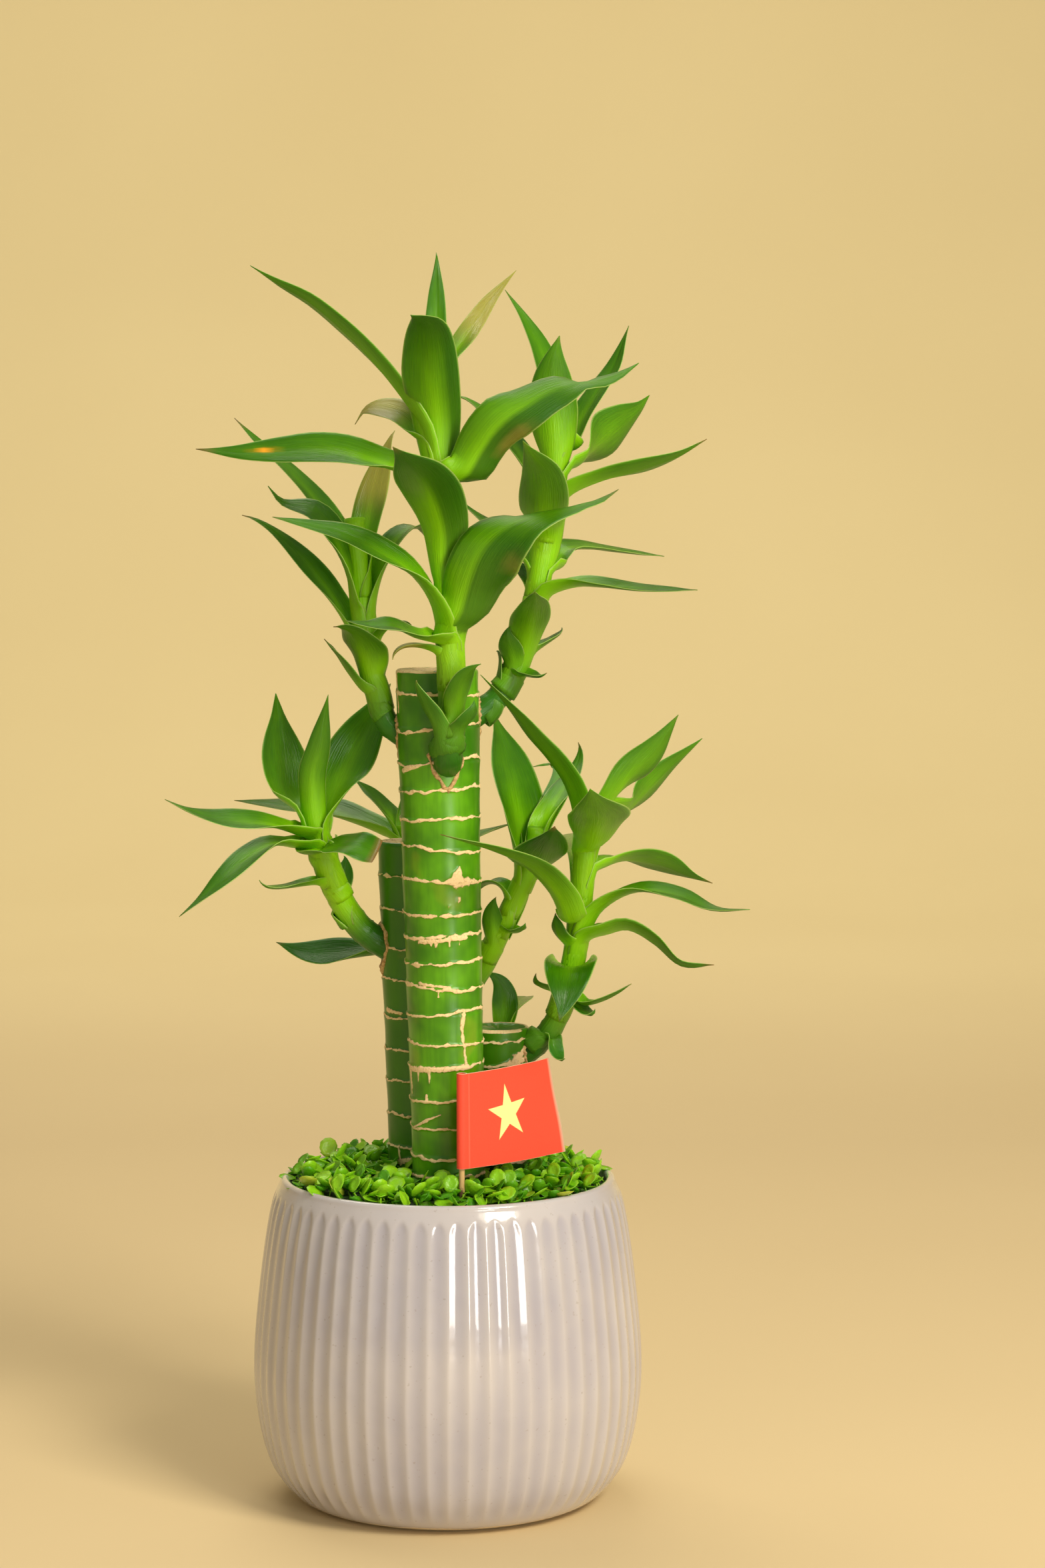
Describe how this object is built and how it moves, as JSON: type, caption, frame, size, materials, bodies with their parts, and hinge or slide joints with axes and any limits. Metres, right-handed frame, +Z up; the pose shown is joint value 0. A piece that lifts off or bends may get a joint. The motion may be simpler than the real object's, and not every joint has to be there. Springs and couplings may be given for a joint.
{
  "type": "potted lucky bamboo",
  "caption": "Lucky bamboo with ringed green canes and leafy side shoots, in a ribbed glazed pot with a leafy ground cover and a small paper flag.",
  "frame": {"origin": "centre of the pot's flat foot", "axes": "+Z up along the pot and canes, -Y towards the side with the flag and the tall cane's front shoot"},
  "size_m": [0.176, 0.1736, 0.3814],
  "materials": {
    "glaze": "glossy pale grey glaze",
    "soil": "damp crumbly soil",
    "ground_cover": "glossy small leaves",
    "cane": "smooth green cane",
    "leaf": "glossy leaf",
    "paper": "printed matt paper",
    "stick": "bare wood"
  },
  "bodies": {
    "root": {"pot": "glaze", "soil": "soil", "ground_cover": "ground_cover", "cane_tall": "cane", "cane_mid": "cane", "cane_short": "cane", "shoot_tall_front": "leaf", "shoot_tall_left": "leaf", "shoot_tall_right": "leaf", "shoot_mid_left": "leaf", "shoot_mid_back": "leaf", "shoot_mid_right": "leaf", "shoot_short_right": "leaf", "shoot_short_back": "leaf", "flag_stick": "stick", "flag_paper": "paper"}
  },
  "joints": []
}
